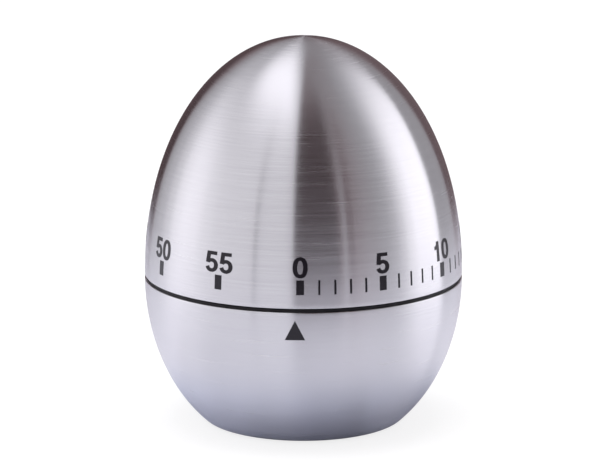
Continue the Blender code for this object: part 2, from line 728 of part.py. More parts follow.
def make_plates():
    """The two plates, drilled for their arbors, pillars, screws and the hammer's leg."""
    pivots = [circle(*xy, PIVOT_RADIUS + RUNNING, 8) for xy in ARBORS.values()]
    pillars = [polar(PILLAR_CIRCLE, a) for a in PILLAR_ANGLES]
    mounts = [polar(MOUNT_SCREW_CIRCLE, a) for a in MOUNT_SCREW_ANGLES]
    lower_holes = [
        circle(0, 0, SHAFT_PIVOT_RADIUS + RUNNING, 16), *pivots,
        *(circle(*xy, PILLAR_FOOT_RADIUS + PRESS) for xy in pillars),
        *(circle(*xy, MOUNT_SCREW[2] + TOUCH) for xy in mounts),
        circle(*HAMMER_HEAD, HAMMER_HEAD_RADIUS + HAMMER_HEAD_CLEARANCE, 20),
    ]
    rim = circle(0, 0, PLATE_RADIUS, 40)
    flat("lower_plate", [rim, *lower_holes], LOWER_PLATE_Z, PLATE_TOP, steel)
    upper_holes = [
        circle(0, 0, SHAFT_RADIUS + RUNNING, 24), *pivots,
        *(circle(*xy, PLATE_SCREW[2] + TOUCH) for xy in pillars),
        circle(*LEVER_STUD, LEVER_STUD_RADIUS + PRESS),
    ]
    flat("upper_plate", [rim, *upper_holes], UPPER_PLATE_Z, FRAME_TOP, steel)

    low, high = PLATE_TOP + TOUCH, UPPER_PLATE_Z - TOUCH
    for i, (x, y) in enumerate(pillars):
        axis = axis_at(f"pillar_{i + 1}_axis", x, y)
        pillar = stepped_rod(
            f"pillar_{i + 1}",
            [(PILLAR_RADIUS, low, high), (PILLAR_FOOT_RADIUS, LOWER_PLATE_Z + TOUCH, low)],
            plated, axis,
        )
        tap = rod(f"pillar_tap_{i + 1}", PLATE_SCREW[2] + TOUCH, high - PILLAR_TAP_DEPTH,
                  high + PAST, None, x, y, collection=helpers)
        boolean(pillar, tap, "DIFFERENCE")
        screw(f"plate_screw_{i + 1}", x, y, FRAME_TOP + TOUCH, 1, PLATE_SCREW)
    for i, (x, y) in enumerate(mounts):
        screw(f"mount_screw_{i + 1}", x, y, PLATE_TOP + TOUCH, 1, MOUNT_SCREW)


def make_bell():
    """The bell is a shallow steel dish, mouth up, on a post under the lower plate."""
    rise = BELL_RIM - BELL_BOTTOM
    sweep = BELL_RADIUS - BELL_FLOOR_RADIUS

    def wall(inset, count=5):
        return [
            (BELL_FLOOR_RADIUS + (sweep - inset) * cos(a), BELL_RIM - (rise - inset) * sin(a))
            for a in (pi / 2 * i / (count - 1) for i in range(count))
        ]

    profile = [
        *wall(0), (BELL_HOLE_RADIUS, BELL_BOTTOM),
        (BELL_HOLE_RADIUS, BELL_BOTTOM + BELL_WALL), *wall(BELL_WALL)[::-1],
    ]
    turned("bell", profile, BELL_SEGMENTS, bell_steel)
    low, high = BELL_BOTTOM + BELL_WALL + TOUCH, LOWER_PLATE_Z - TOUCH
    post = rod("bell_post", BELL_POST_RADIUS, low, high, plated, segments=20)
    tap = rod("bell_post_tap", BELL_SCREW[2] + TOUCH, low - PAST, low + BELL_TAP_DEPTH, None,
              collection=helpers)
    boolean(post, tap, "DIFFERENCE")
    screw("bell_screw", 0, 0, BELL_BOTTOM - TOUCH, -1, BELL_SCREW)


# ---------------------------------------------------------------- winding


def make_winding():
    """The winding shaft with what turns on it: ratchet, strike gear and stop cam."""
    collar_top = THIRD_WHEEL_Z + WHEEL_THICKNESS + COLLAR_RISE
    shaft = stepped_rod(
        "winding_shaft",
        [
            (SHAFT_RADIUS, collar_top, SHAFT_TOP),
            (SHAFT_RADIUS + COLLAR_WIDTH, THIRD_WHEEL_Z, collar_top),
            (SHAFT_RADIUS, PLATE_TOP + RUNNING, THIRD_WHEEL_Z),
            (SHAFT_PIVOT_RADIUS, LOWER_PLATE_Z + TOUCH, PLATE_TOP + RUNNING),
        ],
        steel, dial_axis, 24,
    )
    cut = box(
        "shaft_flat_cut", (SHAFT_RADIUS, 3 * SHAFT_RADIUS, SHAFT_TOP - SEAM_TOP + PAST),
        (SHAFT_FLAT + SHAFT_RADIUS / 2, 0, (SHAFT_TOP + SEAM_TOP + PAST) / 2), 0, helpers,
    )
    boolean(shaft, cut, "DIFFERENCE")

    bore = circle(0, 0, SHAFT_RADIUS + PRESS, 24)
    teeth = []
    for n in range(RATCHET_TEETH):
        start = 2 * pi * n / RATCHET_TEETH
        for share, radius in ((0.0, RATCHET_RADIUS), (RATCHET_LEAN, RATCHET_RADIUS - RATCHET_DEPTH)):
            a = start + share * 2 * pi / RATCHET_TEETH
            teeth.append((radius * cos(a), radius * sin(a)))
    flat("ratchet_wheel", [teeth, bore], RATCHET_Z, RATCHET_Z + RATCHET_THICKNESS, steel, dial_axis)
    crossings = [circle(*polar(STRIKE_CROSSING[0], 60 * i), STRIKE_CROSSING[1]) for i in range(6)]
    flat("strike_gear", [wheel_outline(STRIKE_TEETH, STRIKE_MODULE), bore, *crossings],
         STRIKE_GEAR_Z, STRIKE_GEAR_Z + STRIKE_GEAR_THICKNESS, brass, dial_axis)
    half_notch = radians(CAM_NOTCH_ANGLE) / 2
    notch = radians(LEVER_ANGLE)
    rim = [
        (CAM_RADIUS * cos(notch + half_notch + (2 * pi - 2 * half_notch) * i / 30),
         CAM_RADIUS * sin(notch + half_notch + (2 * pi - 2 * half_notch) * i / 30))
        for i in range(31)
    ]
    dip = CAM_RADIUS - CAM_NOTCH_DEPTH
    dip_half = half_notch * CAM_NOTCH_TAPER
    rim += [(dip * cos(notch - dip_half), dip * sin(notch - dip_half)),
            (dip * cos(notch + dip_half), dip * sin(notch + dip_half))]
    flat("stop_cam", [rim, bore], CAM_Z, CAM_Z + CAM_THICKNESS, steel, dial_axis)


def make_mainspring():
    """The spiral strip from the shaft to a loop round the spring post."""
    start_radius = SHAFT_RADIUS + SPRING_SHAFT_GAP + SPRING_STRIP / 2
    end_angle = radians(SPRING_POST_ANGLE)
    begin_angle = end_angle - 2 * pi * SPRING_TURNS
    steps = int(SPRING_TURNS * SPRING_STEPS)
    spine = []
    for i in range(steps + 1):
        share = i / steps
        radius = start_radius + (SPRING_OUTER_RADIUS - start_radius) * share
        a = begin_angle + (end_angle - begin_angle) * share
        spine.append(Vector((radius * cos(a), radius * sin(a))))
    post = Vector(polar(SPRING_POST_CIRCLE, SPRING_POST_ANGLE))
    loop_radius = SPRING_POST_RADIUS + PRESS + SPRING_LOOP_GAP + SPRING_STRIP / 2
    inward = end_angle + pi
    for i in range(1, 9):
        a = inward + radians(30) * i
        spine.append(post + loop_radius * Vector((cos(a), sin(a))))
    left, right = [], []
    for i, point in enumerate(spine):
        ahead = (spine[min(i + 1, len(spine) - 1)] - spine[max(i - 1, 0)]).normalized()
        side = Vector((-ahead.y, ahead.x)) * SPRING_STRIP / 2
        left.append(tuple(point + side))
        right.append(tuple(point - side))
    flat("mainspring", [left + right[::-1]], SPRING_Z, SPRING_Z + SPRING_HEIGHT, spring_steel)
    rod("spring_post", SPRING_POST_RADIUS, PLATE_TOP + TOUCH,
        SPRING_Z + SPRING_HEIGHT + SPRING_POST_RISE, plated, *post)


def make_great_wheel():
    """The great wheel runs free on the shaft. Its click catches the ratchet as the spring unwinds."""
    bore = circle(0, 0, SHAFT_RADIUS + RUNNING, 24)
    pivot = polar(CLICK_CIRCLE, 0)
    stud_hole = circle(*pivot, CLICK_STUD_RADIUS + PRESS)
    crossings = [circle(*polar(GREAT_CROSSING[0], 60 * i), GREAT_CROSSING[1]) for i in range(1, 6)]
    outline = wheel_outline(GREAT_TEETH, GREAT_MODULE)
    flat("great_wheel", [outline, bore, stud_hole, *crossings], GREAT_WHEEL_Z,
         GREAT_WHEEL_Z + GREAT_THICKNESS, brass, great_axis)
    stud_top = RATCHET_Z + RATCHET_THICKNESS + CLICK_STUD_RISE
    rod("click_stud", CLICK_STUD_RADIUS, GREAT_WHEEL_Z + TOUCH, stud_top, plated, *pivot,
        parent=great_axis)

    nose = polar(RATCHET_RADIUS + CLICK_NOSE_GAP, CLICK_NOSE_ANGLE)
    body = tapered_link(CLICK_RADIUS, nose[0] - pivot[0], nose[1] - pivot[1], CLICK_NOSE_RADIUS)
    click_hole = circle(0, 0, CLICK_STUD_RADIUS + RUNNING)
    flat("click", [body, click_hole], RATCHET_Z + CLICK_SIDE_GAP,
         RATCHET_Z + RATCHET_THICKNESS - CLICK_SIDE_GAP, steel, click_axis)
    anchor = Vector(polar(*CLICK_SPRING_ANCHOR))
    tip = Vector(polar(*CLICK_SPRING_TIP))
    bow = (anchor + tip) / 2 + Vector((CLICK_SPRING_BOW, 0))
    height = RATCHET_Z + CLICK_SPRING_RISE
    foot = GREAT_WHEEL_Z + GREAT_THICKNESS + CLICK_SPRING_FOOT_GAP
    wire("click_spring", [(*anchor, foot), (*anchor, height), (*bow, height), (*tip, height)],
         CLICK_SPRING_RADIUS, great_axis)


def wire(name, points, radius, parent=None):
    """A round wire along a few points."""
    curve = bpy.data.curves.new(name, "CURVE")
    curve.dimensions = "3D"
    curve.bevel_depth = radius
    curve.bevel_resolution = 1
    curve.use_fill_caps = True
    spline = curve.splines.new("POLY")
    spline.points.add(len(points) - 1)
    for point, where in zip(spline.points, points):
        point.co = (*where, 1)
    place(bpy.data.objects.new(name, curve), spring_steel, parent)


# ---------------------------------------------------------------- going train


def make_train():
    """Four pinions and three wheels step one turn of the dial up to 600 turns of the escape wheel."""
    angle = 0.0
    wheel_xy, wheel_radius, module = (0.0, 0.0), GREAT_TEETH * GREAT_MODULE / 2, GREAT_MODULE
    stages = (
        ("second", SECOND_TEETH, SECOND_MODULE, GREAT_WHEEL_Z, GREAT_THICKNESS, SECOND_WHEEL_Z),
        ("third", THIRD_TEETH, THIRD_MODULE, SECOND_WHEEL_Z, WHEEL_THICKNESS, THIRD_WHEEL_Z),
        ("fourth", FOURTH_TEETH, FOURTH_MODULE, THIRD_WHEEL_Z, WHEEL_THICKNESS, FOURTH_WHEEL_Z),
        ("escape", 0, 0, FOURTH_WHEEL_Z, WHEEL_THICKNESS, ESCAPE_WHEEL_Z),
    )
    for name, teeth, own_module, mesh_z, mesh_thickness, own_z in stages:
        xy = ARBORS[name]
        axis = axis_at(f"{name}_axis", *xy)
        pinion_radius = PINION_TEETH * module / 2
        phase = mesh_phase(angle, wheel_xy, wheel_radius, xy, pinion_radius, module)
        low, high = mesh_z - PINION_OVERHANG, mesh_z + mesh_thickness + PINION_OVERHANG
        pinion_arbor(f"{name}_pinion", module, low, high, seat_for(own_z), axis, phase)
        bore = SEAT_RADIUS + PRESS
        if teeth:
            wheel(f"{name}_wheel", teeth, own_module, own_z, axis, phase, bore)
            angle, wheel_xy, wheel_radius, module = phase, xy, teeth * own_module / 2, own_module
        else:
            make_escape_wheel(axis, xy, bore)


def seat_for(low, thickness=WHEEL_THICKNESS):
    """The heights between which an arbor is thicker, to carry a wheel or a lever."""
    return low - SEAT_OVERHANG, low + thickness + SEAT_OVERHANG


def make_escape_wheel(axis, xy, bore):
    """Fifteen leaning points. At rest each pallet pin faces a quarter of the way into a gap."""
    pitch = 2 * pi / ESCAPE_TEETH
    to_pallet = atan2(ARBORS["pallet"][1] - xy[1], ARBORS["pallet"][0] - xy[0])
    entry = to_pallet + PALLET_SPAN_TEETH * pitch / 2
    points = []
    for n in range(ESCAPE_TEETH):
        for share, radius in ESCAPE_TOOTH:
            a = (n + share) * pitch
            points.append((radius * cos(a), radius * sin(a)))
    flat("escape_wheel", [points, circle(0, 0, bore)], ESCAPE_WHEEL_Z,
         ESCAPE_WHEEL_Z + WHEEL_THICKNESS, brass, axis, entry + pitch / 4)


def make_pallets():
    """The pallet lever with its two pins, on the arbor that it shares with the balance."""
    px, py = ARBORS["pallet"]
    axis = axis_at("pallet_axis", px, py)
    ex, ey = ARBORS["escape"][0] - px, ARBORS["escape"][1] - py
    lever_z = ESCAPE_WHEEL_Z + WHEEL_THICKNESS + PALLET_LEVER_LIFT
    lever_top = lever_z + PALLET_LEVER_THICKNESS
    arbor_rod("pallet_arbor", [seat_for(BALANCE_Z), seat_for(lever_z, PALLET_LEVER_THICKNESS)], axis)
    pins = {}
    for name, side in (("entry", 1), ("exit", -1)):
        a = side * PALLET_HALF_SPAN + atan2(-ey, -ex)
        pins[name] = (ex + PALLET_PIN_CIRCLE * cos(a), ey + PALLET_PIN_CIRCLE * sin(a))
        rod(f"{name}_pallet_pin", PALLET_PIN_RADIUS, ESCAPE_WHEEL_Z - PALLET_PIN_DROP,
            lever_top - TOUCH, steel, *pins[name], parent=axis)
    arms = [tapered_link(PALLET_HUB_RADIUS, *pin, PALLET_END_RADIUS) for pin in pins.values()]
    holes = [("arbor", 0, 0, SEAT_RADIUS + PRESS)]
    holes += [(name, *pin, PALLET_PIN_RADIUS + PRESS) for name, pin in pins.items()]
    two_armed("pallet_lever", arms, lever_z, lever_top, holes, axis)
    make_balance(axis)


def make_balance(axis):
    """The balance times the swing. Two windows leave it a rim, a hub and two spokes."""
    inner, outer = BALANCE_HUB_RADIUS, BALANCE_RADIUS - BALANCE_RIM
    sweep = pi - 2 * BALANCE_SPOKE_HALF
    windows = []
    for half in (0, pi):
        arc = [half + BALANCE_SPOKE_HALF + sweep * i / 8 for i in range(9)]
        windows.append([(outer * cos(a), outer * sin(a)) for a in arc]
                       + [(inner * cos(a), inner * sin(a)) for a in arc[::-1]])
    flat("balance_wheel", [circle(0, 0, BALANCE_RADIUS, 28), circle(0, 0, SEAT_RADIUS + PRESS), *windows],
         BALANCE_Z, BALANCE_Z + WHEEL_THICKNESS, brass, axis)


def two_armed(name, arms, low, high, holes, axis):
    """A steel lever of two arms joined at their hub, with a hole at each (label, x, y, radius)."""
    lever = as_mesh(flat(name, [arms[0]], low, high, None, axis))
    lever.data.materials.append(steel)
    arm = flat(name + "_arm", [arms[1]], low, high, None, axis, 0, helpers)
    boolean(lever, as_mesh(arm), "UNION")
    for label, x, y, radius in holes:
        drill = rod(f"{name}_drill_{label}", radius, low - PAST, high + PAST, None, x, y, axis,
                    collection=helpers)
        boolean(lever, drill, "DIFFERENCE")


# ---------------------------------------------------------------- strike


def make_strike():
    """The strike pinion with its star wheel, which knocks the hammer's tail."""
    xy = ARBORS["strike"]
    axis = axis_at("strike_axis", *xy)
    module = STRIKE_MODULE
    phase = mesh_phase(0, (0, 0), STRIKE_TEETH * module / 2, xy, STRIKE_PINION_TEETH * module / 2, module)
    low, high = STRIKE_GEAR_Z - PINION_OVERHANG, UPPER_PLATE_Z - STRIKE_PINION_GAP
    pinion_arbor("strike_pinion", module, low, high, seat_for(STAR_Z, STAR_THICKNESS), axis, phase,
                 STRIKE_PINION_TEETH)
    points = []
    for n in range(2 * STAR_TEETH):
        radius = STAR_RADIUS if n % 2 == 0 else STAR_RADIUS - STAR_DEPTH
        a = pi * n / STAR_TEETH
        points.append((radius * cos(a), radius * sin(a)))
    flat("star_wheel", [points, circle(0, 0, SEAT_RADIUS + PRESS)], STAR_Z, STAR_Z + STAR_THICKNESS,
         steel, axis)


def make_hammer():
    """The hammer: its arm reaches over the bell, and its tail reaches the star wheel."""
    pivot = Vector(ARBORS["hammer"])
    axis = axis_at("hammer_axis", *pivot)
    low = STAR_Z + HAMMER_ARM_LIFT
    high = low + HAMMER_ARM_THICKNESS
    arbor_rod("hammer_arbor", [seat_for(low, HAMMER_ARM_THICKNESS)], axis)
    to_star = Vector(ARBORS["strike"]) - pivot
    tail = to_star.normalized() * (to_star.length - STAR_RADIUS - HAMMER_TAIL_GAP - HAMMER_TAIL_RADIUS)
    head = Vector(HAMMER_HEAD) - pivot
    arms = [
        tapered_link(HAMMER_HUB_RADIUS, *head, HAMMER_EYE_RADIUS),
        tapered_link(HAMMER_HUB_RADIUS, *tail, HAMMER_TAIL_RADIUS),
    ]
    holes = [("arbor", 0, 0, SEAT_RADIUS + PRESS), ("head", *head, HAMMER_STEM_RADIUS + PRESS)]
    two_armed("hammer_arm", arms, low, high, holes, axis)
    stepped_rod(
        "hammer_head",
        [(HAMMER_STEM_RADIUS, low - TOUCH, high),
         (HAMMER_HEAD_RADIUS, BELL_BOTTOM + HAMMER_HEAD_LIFT, low - TOUCH)],
        brass, axis_at("hammer_head_axis", *head, axis), 16,
    )


def make_release_lever():
    """The lever on the upper plate. Its nose waits over the cam's notch, ready to drop at zero."""
    stud = Vector(LEVER_STUD)
    cap_low = CAM_Z + CAM_THICKNESS + LEVER_CAP_GAP
    stepped_rod(
        "lever_stud",
        [(LEVER_CAP_RADIUS, cap_low, cap_low + LEVER_CAP_THICKNESS),
         (LEVER_STUD_RADIUS, UPPER_PLATE_Z + TOUCH, cap_low)],
        plated, axis_at("lever_stud_axis", *stud),
    )
    nose = Vector(polar(CAM_RADIUS + LEVER_NOSE_GAP, LEVER_ANGLE)) - stud
    tail = Vector(ARBORS["hammer"]) - stud
    tail = tail.normalized() * (tail.length - LEVER_TAIL_GAP)
    arms = [
        tapered_link(LEVER_HUB_RADIUS, *nose, LEVER_NOSE_RADIUS),
        tapered_link(LEVER_HUB_RADIUS, *tail, LEVER_TAIL_RADIUS),
    ]
    holes = [("stud", 0, 0, LEVER_STUD_RADIUS + RUNNING)]
    two_armed("release_lever", arms, CAM_Z, CAM_Z + CAM_THICKNESS, holes, axis_at("lever_axis", *stud))


# ---------------------------------------------------------------- arbor places

PALLET_HALF_SPAN = PALLET_SPAN_TEETH * pi / ESCAPE_TEETH
PALLET_PIN_CIRCLE = ESCAPE_TIP_RADIUS + PALLET_PIN_RADIUS + PALLET_CLEARANCE
PALLET_DISTANCE = PALLET_PIN_CIRCLE / cos(PALLET_HALF_SPAN)
SECOND_XY = polar(reach(GREAT_TEETH, GREAT_MODULE), SECOND_ANGLE)
THIRD_XY = next_arbor(SECOND_XY, THIRD_RADIUS, reach(SECOND_TEETH, SECOND_MODULE))
FOURTH_XY = next_arbor(THIRD_XY, FOURTH_RADIUS, reach(THIRD_TEETH, THIRD_MODULE))
ESCAPE_XY = next_arbor(FOURTH_XY, ESCAPE_RADIUS, reach(FOURTH_TEETH, FOURTH_MODULE))
ARBORS = {
    "second": SECOND_XY,
    "third": THIRD_XY,
    "fourth": FOURTH_XY,
    "escape": ESCAPE_XY,
    "pallet": next_arbor(ESCAPE_XY, ESCAPE_RADIUS, PALLET_DISTANCE),
    "strike": polar(reach(STRIKE_TEETH, STRIKE_MODULE, STRIKE_PINION_TEETH), STRIKE_ANGLE),
    "hammer": polar(HAMMER_CIRCLE, HAMMER_ANGLE),
}
HAMMER_HEAD = polar(HAMMER_HEAD_CIRCLE, HAMMER_HEAD_ANGLE)
LEVER_STUD = polar(LEVER_CIRCLE, LEVER_ANGLE - LEVER_LEAD)


clear_scene()
timer = new_collection("kitchen_timer")
helpers = new_collection("cutters")

steel_sheet = principled("brushed_stainless", (0.62, 0.62, 0.64), 0.32, 1.0)
black_plastic = principled("black_plastic", (0.02, 0.02, 0.022), 0.45, 0.0)
steel = principled("movement_steel", (0.55, 0.55, 0.56), 0.35, 1.0)
plated = principled("plated_steel", (0.65, 0.64, 0.6), 0.3, 1.0)
spring_steel = principled("spring_steel", (0.2, 0.22, 0.27), 0.3, 1.0)
bell_steel = principled("bell_steel", (0.7, 0.7, 0.7), 0.2, 1.0)
brass = principled("brass", (0.78, 0.6, 0.3), 0.3, 1.0)

dial_axis = axis_at("dial_axis")
great_axis = axis_at("great_axis")
click_axis = axis_at("click_axis", *polar(CLICK_CIRCLE, 0), parent=great_axis)

make_dome()
make_bowl()
make_bowl_liner()
make_base_cover()
make_plates()
make_bell()
make_winding()
make_mainspring()
make_great_wheel()
make_train()
make_pallets()
make_strike()
make_hammer()
make_release_lever()
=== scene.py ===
from math import asin, atan2, cos, degrees, hypot, pi, radians, sin

import bmesh
import bpy
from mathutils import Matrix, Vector


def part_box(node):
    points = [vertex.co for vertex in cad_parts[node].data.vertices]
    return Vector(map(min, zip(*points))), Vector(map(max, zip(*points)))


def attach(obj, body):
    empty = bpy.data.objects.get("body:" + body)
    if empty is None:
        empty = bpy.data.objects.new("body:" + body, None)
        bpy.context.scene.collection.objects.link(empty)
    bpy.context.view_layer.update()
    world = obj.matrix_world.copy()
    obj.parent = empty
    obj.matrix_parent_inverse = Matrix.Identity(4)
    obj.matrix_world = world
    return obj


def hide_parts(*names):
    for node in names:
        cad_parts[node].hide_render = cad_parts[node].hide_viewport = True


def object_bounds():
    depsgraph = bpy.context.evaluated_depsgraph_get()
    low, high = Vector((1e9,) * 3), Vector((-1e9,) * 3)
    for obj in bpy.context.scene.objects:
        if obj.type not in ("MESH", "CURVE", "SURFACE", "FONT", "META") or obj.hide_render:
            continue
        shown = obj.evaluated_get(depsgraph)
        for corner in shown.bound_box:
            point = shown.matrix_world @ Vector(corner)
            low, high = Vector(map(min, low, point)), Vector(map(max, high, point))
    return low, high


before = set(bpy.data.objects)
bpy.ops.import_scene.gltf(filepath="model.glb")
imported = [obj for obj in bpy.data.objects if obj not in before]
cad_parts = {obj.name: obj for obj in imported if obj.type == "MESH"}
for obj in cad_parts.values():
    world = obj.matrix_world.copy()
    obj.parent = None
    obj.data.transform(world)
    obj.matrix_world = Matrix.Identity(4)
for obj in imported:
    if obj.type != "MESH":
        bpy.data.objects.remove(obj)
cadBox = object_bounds()
mm = 0.001
print("frame loaded:", len(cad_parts), "nodes")


# ---- outline of the egg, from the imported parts

domeLow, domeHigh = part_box("dome_shell")
bowlLow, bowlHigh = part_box("bowl_shell")

egg = {
    "radius": (bowlHigh.x - bowlLow.x) / 2,
    "height": domeHigh.z,
    "widest": 28.0 * mm,  # height of the widest ring
    "baseRadius": 18.7 * mm,  # where the belly's curve would meet the worktop
    "crownPowers": (2.11, 2.04),  # roundness up and across, above the widest ring
    "bellyPowers": (1.956, 2.397),  # and below it
}
crownHeight = egg["height"] - egg["widest"]
baseShare = 1 - (egg["baseRadius"] / egg["radius"]) ** egg["bellyPowers"][1]
bellyDepth = egg["widest"] / baseShare ** (1 / egg["bellyPowers"][0])


def eggPoint(slope):
    # slope 0 is the widest ring, pi/2 the very top, and negative values run down the bowl
    if slope >= 0:
        up, across = egg["crownPowers"]
        depth = crownHeight
    else:
        up, across = egg["bellyPowers"]
        depth = -bellyDepth
    radius = egg["radius"] * max(cos(abs(slope)), 0.0) ** (2 / across)
    return radius, egg["widest"] + depth * abs(sin(slope)) ** (2 / up)


def slopeAt(height):
    rise = height - egg["widest"]
    if rise >= 0:
        return asin(min(rise / crownHeight, 1.0) ** (egg["crownPowers"][0] / 2))
    return -asin((-rise / bellyDepth) ** (egg["bellyPowers"][0] / 2))


def eggInset(slope, inset):
    # a point of the outline moved inwards, square to the skin
    step = 0.0004
    if slope > pi / 2 - step:
        return 0.0, egg["height"] - inset
    (r0, z0), (r1, z1) = eggPoint(slope - step), eggPoint(slope + step)
    length = hypot(r1 - r0, z1 - z0)
    r, z = eggPoint(slope)
    return r - inset * (z1 - z0) / length, z + inset * (r1 - r0) / length


def eggWall(top, bottom, inset, rings):
    first, last = slopeAt(top), slopeAt(bottom)
    return [eggInset(first + (last - first) * i / rings, inset) for i in range(rings + 1)]


def roundEdge(corner, before, after, radius, steps=4):
    # replaces a sharp corner of a profile by a small arc between its two neighbours
    c, a, b = Vector(corner), Vector(before), Vector(after)
    start = c + (a - c).normalized() * radius
    end = c + (b - c).normalized() * radius
    points = []
    for i in range(steps + 1):
        t = i / steps
        points.append(tuple(start * (1 - t) ** 2 + c * 2 * t * (1 - t) + end * t ** 2))
    return points


# ---- mesh helpers


def newObject(name, mesh, material):
    obj = bpy.data.objects.new(name, mesh)
    bpy.context.scene.collection.objects.link(obj)
    mesh.materials.append(material)
    return obj


def smoothShade(mesh, sharpAngle):
    mesh.shade_smooth()
    mesh.set_sharp_from_angle(angle=radians(sharpAngle))


def turnedPiece(name, profile, segments, material, loop=True, sharpAngle=40):
    # profile points are (radius, height), listed down the outer side and back up the inner one
    shape = bmesh.new()
    along = shape.verts.layers.float.new("along")  # distance along the profile, for the brushed grain
    rings = []
    travelled = 0.0
    last = profile[0]
    for radius, height in profile:
        travelled += hypot(radius - last[0], height - last[1])
        last = (radius, height)
        if radius < 1e-7:
            ring = [shape.verts.new((0, 0, height))]
        else:
            turn = 2 * pi / segments
            ring = [shape.verts.new((radius * cos(i * turn), radius * sin(i * turn), height))
                    for i in range(segments)]
        for vert in ring:
            vert[along] = travelled
        rings.append(ring)
    pairs = list(zip(rings, rings[1:]))
    if loop:
        pairs.append((rings[-1], rings[0]))
    for upper, lower in pairs:
        for i in range(segments):
            j = (i + 1) % segments
            if len(upper) == 1 and len(lower) == 1:
                break
            if len(upper) == 1:
                shape.faces.new((upper[0], lower[i], lower[j]))
            elif len(lower) == 1:
                shape.faces.new((upper[i], lower[0], upper[j]))
            else:
                shape.faces.new((upper[i], lower[i], lower[j], upper[j]))
    bmesh.ops.recalc_face_normals(shape, faces=shape.faces)
    mesh = bpy.data.meshes.new(name)
    shape.to_mesh(mesh)
    shape.free()
    smoothShade(mesh, sharpAngle)
    return newObject(name, mesh, material)


# ---- material helpers


def newMaterial(name):
    material = bpy.data.materials.new(name)
    material.use_nodes = True
    tree = material.node_tree
    return material, tree, tree.nodes["Principled BSDF"]


def node(tree, kind, inputs=None, **settings):
    made = tree.nodes.new(kind)
    for key, value in settings.items():
        setattr(made, key, value)
    for key, value in (inputs or {}).items():
        if isinstance(value, bpy.types.NodeSocket):
            tree.links.new(value, made.inputs[key])
        else:
            made.inputs[key].default_value = value
    return made


def ranged(tree, value, low, high):
    # maps a 0..1 value to low..high
    return node(tree, "ShaderNodeMapRange", {"Value": value, "To Min": low, "To Max": high}).outputs[0]


def tinted(tree, factor, dark, light):
    mixed = node(tree, "ShaderNodeMix", {"Factor": factor}, data_type="RGBA")
    mixed.inputs["A"].default_value = (*dark, 1)
    mixed.inputs["B"].default_value = (*light, 1)
    return mixed.outputs["Result"]


def vectorMath(tree, operation, inputs):
    return node(tree, "ShaderNodeVectorMath", inputs, operation=operation).outputs[0]


def noise(tree, place, scale, detail):
    inputs = {"Vector": place, "Scale": scale, "Detail": detail}
    return node(tree, "ShaderNodeTexNoise", inputs).outputs["Fac"]


def bumped(tree, shader, height, strength, depth):
    inputs = {"Height": height, "Strength": strength, "Distance": depth}
    tree.links.new(node(tree, "ShaderNodeBump", inputs).outputs[0], shader.inputs["Normal"])


def grainCoordinates(tree, around, across):
    # long streaks round the Z axis: a unit circle for the heading, and the distance along the profile
    place = node(tree, "ShaderNodeTexCoord").outputs["Object"]
    level = vectorMath(tree, "MULTIPLY", {0: place, 1: (1, 1, 0)})
    heading = vectorMath(tree, "NORMALIZE", {0: level})
    streak = vectorMath(tree, "SCALE", {0: heading, "Scale": around})
    along = node(tree, "ShaderNodeAttribute", attribute_name="along").outputs["Fac"]
    fine = node(tree, "ShaderNodeMath", {0: along, 1: across}, operation="MULTIPLY").outputs[0]
    lift = node(tree, "ShaderNodeCombineXYZ", {"Z": fine}).outputs[0]
    return vectorMath(tree, "ADD", {0: streak, 1: lift})


brushed = {
    "colour": (0.63, 0.62, 0.625),
    "darkColour": (0.58, 0.57, 0.58),
    "roughness": (0.213, 0.275),
    "stretch": 1.0,  # how far the grain stretches reflections up and down
    "grainPitch": 0.15 * mm,
    "grainTurns": 2.2,  # the fewer, the longer the scratches
    "grainDepth": 0.00012 * mm,
    "broadPitch": 0.32 * mm,  # wider scratches, seen as faint level lines
    "broadTurns": 1.3,
    "contrast": (0.12, 0.42),  # the part of the grain's range that shows
}


def brushedSteelMaterial():
    material, tree, shader = newMaterial("brushedStainless")
    finePlace = grainCoordinates(tree, brushed["grainTurns"], 1 / brushed["grainPitch"])
    broadPlace = grainCoordinates(tree, brushed["broadTurns"], 1 / brushed["broadPitch"])
    fine = noise(tree, finePlace, 1.0, 3.0)
    broad = noise(tree, broadPlace, 1.0, 2.0)
    both = node(tree, "ShaderNodeMath", {0: fine, 1: broad}, operation="MULTIPLY").outputs[0]
    low, high = brushed["contrast"]
    shown = {"Value": both, "From Min": low, "From Max": high}
    spread = node(tree, "ShaderNodeMapRange", shown).outputs[0]
    tint = tinted(tree, spread, brushed["darkColour"], brushed["colour"])
    tree.links.new(tint, shader.inputs["Base Color"])
    tree.links.new(ranged(tree, spread, *brushed["roughness"]), shader.inputs["Roughness"])
    bumped(tree, shader, fine, 1.0, brushed["grainDepth"])
    tangent = node(tree, "ShaderNodeTangent", direction_type="RADIAL", axis="Z")
    tree.links.new(tangent.outputs[0], shader.inputs["Tangent"])
    shader.inputs["Metallic"].default_value = 1.0
    shader.inputs["Anisotropic"].default_value = brushed["stretch"]
    shader.inputs["Anisotropic Rotation"].default_value = 0.25  # a quarter turn from the tangent
    return material


def speckledMaterial(name, colours, roughness, bumpSize, bumpDepth, metallic=0.0,
                     stretch=(1, 1, 1), specular=0.5):
    # moulded plastic, stamped or plated metal: fine bumps, and a slow drift of colour and gloss
    material, tree, shader = newMaterial(name)
    place = node(tree, "ShaderNodeTexCoord").outputs["Object"]
    pulled = node(tree, "ShaderNodeMapping", {"Vector": place, "Scale": stretch}).outputs[0]
    fine = noise(tree, pulled, 1 / bumpSize, 2.0)
    slow = noise(tree, place, 0.08 / bumpSize, 3.0)
    tree.links.new(tinted(tree, slow, *colours), shader.inputs["Base Color"])
    mixed = node(tree, "ShaderNodeMath", {0: fine, 1: slow}, operation="MULTIPLY").outputs[0]
    tree.links.new(ranged(tree, mixed, *roughness), shader.inputs["Roughness"])
    bumped(tree, shader, fine, 0.6, bumpDepth)
    shader.inputs["Metallic"].default_value = metallic
    shader.inputs["Specular IOR Level"].default_value = specular
    return material


